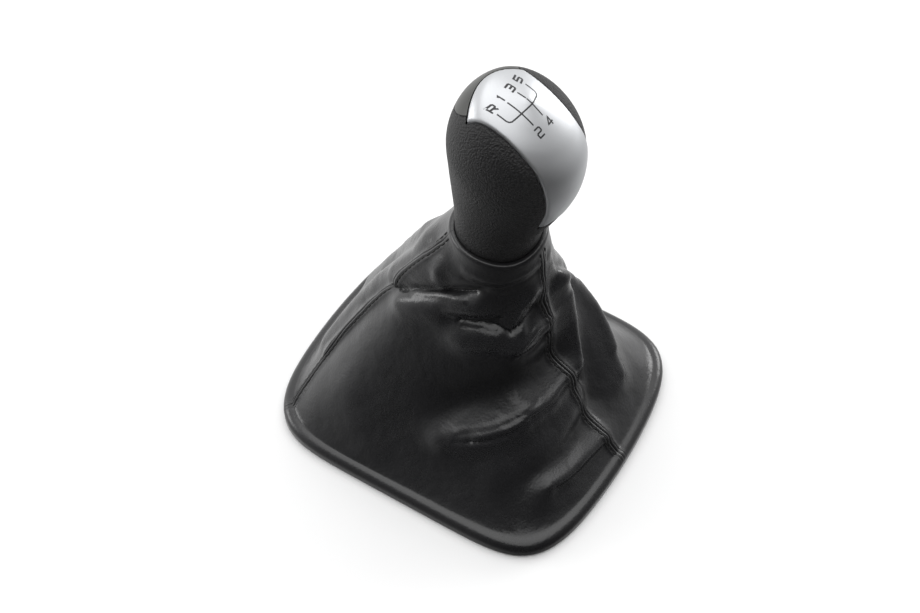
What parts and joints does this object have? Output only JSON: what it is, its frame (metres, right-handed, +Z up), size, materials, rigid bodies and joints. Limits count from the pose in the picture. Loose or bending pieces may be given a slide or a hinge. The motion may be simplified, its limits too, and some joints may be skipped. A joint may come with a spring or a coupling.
{
  "type": "gear knob with gaiter",
  "caption": "Gear knob with a satin cap over a tapered black leather gaiter, sewn from panels and stapled round a plastic base frame that drops into a car's centre console",
  "frame": {"origin": "centre of the base outline, on the plane the frame rests on", "axes": "+Z up along the lever, +Y towards the front of the car, +X to the car's right"},
  "size_m": [0.136, 0.156, 0.2022],
  "materials": {
    "leather": "satin black leather with fine grain",
    "grip": "pebbled black soft-touch skin",
    "front_shell": "smooth dark grey moulding",
    "cap": "satin silver",
    "nylon": "moulded black nylon",
    "frame": "fine-grained black moulding",
    "staple": "bright wire"
  },
  "bodies": {
    "root": {"knob_core": "nylon", "knob_grip": "grip", "knob_front_shell": "front_shell", "knob_cap": "cap", "lever_sleeve": "nylon", "gaiter_tie": "nylon", "gaiter_left_panel": "leather", "gaiter_right_panel": "leather", "gaiter_front_panel": "leather", "base_frame": "frame", "hem_staple_1": "staple", "hem_staple_2": "staple", "hem_staple_3": "staple", "hem_staple_4": "staple", "hem_staple_5": "staple", "hem_staple_6": "staple", "hem_staple_7": "staple", "hem_staple_8": "staple", "hem_staple_9": "staple", "hem_staple_10": "staple", "hem_staple_11": "staple", "hem_staple_12": "staple"}
  },
  "joints": []
}
